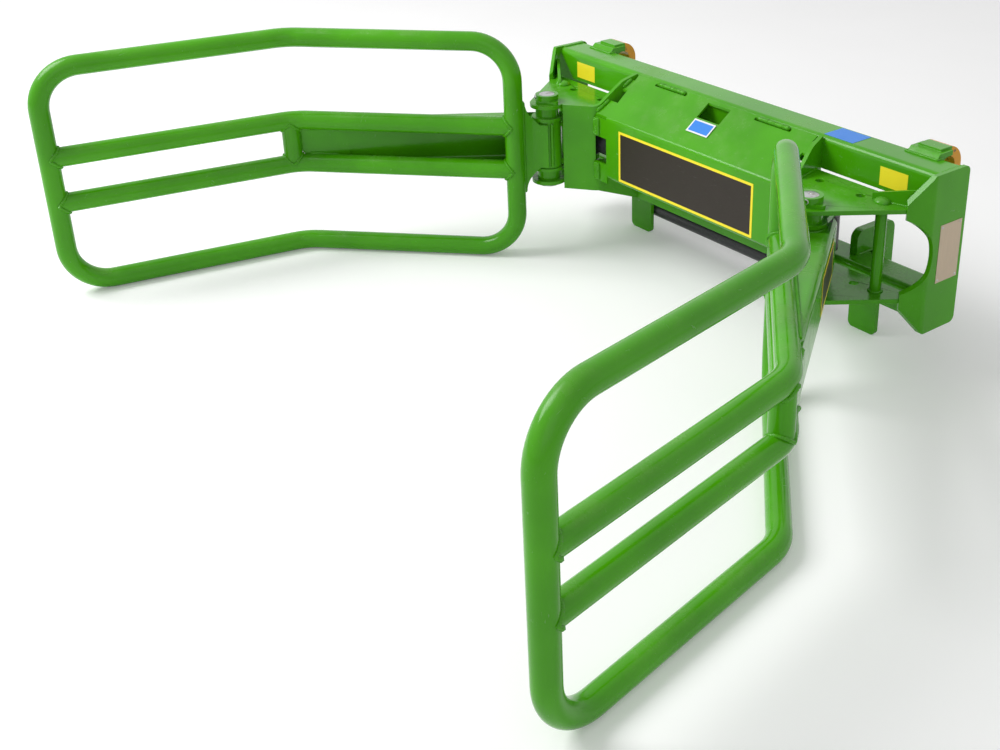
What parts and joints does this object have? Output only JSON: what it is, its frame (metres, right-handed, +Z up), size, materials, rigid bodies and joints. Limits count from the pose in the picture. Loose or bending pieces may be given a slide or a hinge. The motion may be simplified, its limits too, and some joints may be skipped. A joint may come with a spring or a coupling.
{
  "type": "bale handler",
  "caption": "Loader-mounted bale handler: a folded-plate headstock with top hooks and lower lock plates carries two hinged grab arms of bent tube, worked by a ram behind a sloping cover.",
  "frame": {"origin": "on the floor, in the middle of the overall width and depth, arms open as in the picture", "axes": "+X to the right-hand arm, +Y to the loader, -Y to the bale, +Z up"},
  "size_m": [2.0272, 1.4516, 0.597],
  "materials": {
    "green_paint": "glossy green paint",
    "hook_paint": "glossy green paint with orange-yellow hook ends",
    "black_paint": "black paint, worn",
    "pin_steel": "bare turned steel",
    "rod_chrome": "hard chrome plate"
  },
  "bodies": {
    "frame": {"top_beam": "green_paint", "lower_beam": "green_paint", "ram_cover": "green_paint", "lower_cross_tube": "black_paint", "left_end_plate": "green_paint", "right_end_plate": "green_paint", "left_upper_pivot_plate": "green_paint", "right_upper_pivot_plate": "green_paint", "left_lower_pivot_plate": "green_paint", "right_lower_pivot_plate": "green_paint", "left_cheek": "green_paint", "right_cheek": "green_paint", "left_post": "green_paint", "right_post": "green_paint", "left_gusset": "green_paint", "right_gusset": "green_paint", "left_hook_bracket": "hook_paint", "right_hook_bracket": "hook_paint", "left_lower_lug": "green_paint", "right_lower_lug": "green_paint", "left_lock_plate": "green_paint", "right_lock_plate": "green_paint", "left_pivot_pin": "pin_steel", "right_pivot_pin": "pin_steel", "left_pin_retainer": "green_paint", "right_pin_retainer": "green_paint", "left_pivot_spacers": "green_paint", "right_pivot_spacers": "green_paint"},
    "left_arm": {"left_hoop_upper": "green_paint", "left_hoop_lower": "green_paint", "left_rail_upper": "green_paint", "left_rail_lower": "green_paint", "left_knee_post": "green_paint", "left_arm_channel": "green_paint", "left_root_plate": "green_paint", "left_arm_boss": "green_paint", "left_lever": "green_paint", "left_ram_pin": "pin_steel"},
    "right_arm": {"right_hoop_upper": "green_paint", "right_hoop_lower": "green_paint", "right_rail_upper": "green_paint", "right_rail_lower": "green_paint", "right_knee_post": "green_paint", "right_arm_channel": "green_paint", "right_root_plate": "green_paint", "right_arm_boss": "green_paint", "right_lever": "green_paint", "right_ram_pin": "pin_steel"},
    "ram_barrel": {"ram_barrel": "black_paint"},
    "ram_rod": {"ram_rod": "rod_chrome"}
  },
  "joints": [
    {"name": "left_arm_swing", "type": "hinge", "parent": "frame", "child": "left_arm", "pos_m": [-0.4515, 0.38332, 0.2985], "axis": [0, 0, -1], "range_deg": [-45.9, 4]},
    {"name": "right_arm_swing", "type": "hinge", "parent": "frame", "child": "right_arm", "pos_m": [0.4515, 0.38332, 0.2985], "axis": [0, 0, 1], "range_deg": [-45.9, 4]},
    {"name": "ram_barrel_pivot", "type": "hinge", "parent": "left_arm", "child": "ram_barrel", "pos_m": [-0.40842, 0.48995, 0.2985], "axis": [0, 0, 1], "range_deg": [-46, 4.1]},
    {"name": "ram_rod_slide", "type": "slide", "parent": "ram_barrel", "child": "ram_rod", "axis": [1, 0, 0], "range_m": [-0.0161, 0.1798]}
  ],
  "couplings": [
    {"joint": "ram_barrel_pivot", "follows": "left_arm_swing", "ratio": 1},
    {"joint": "ram_rod_slide", "follows": "left_arm_swing", "m_per_rad": -0.22387}
  ]
}
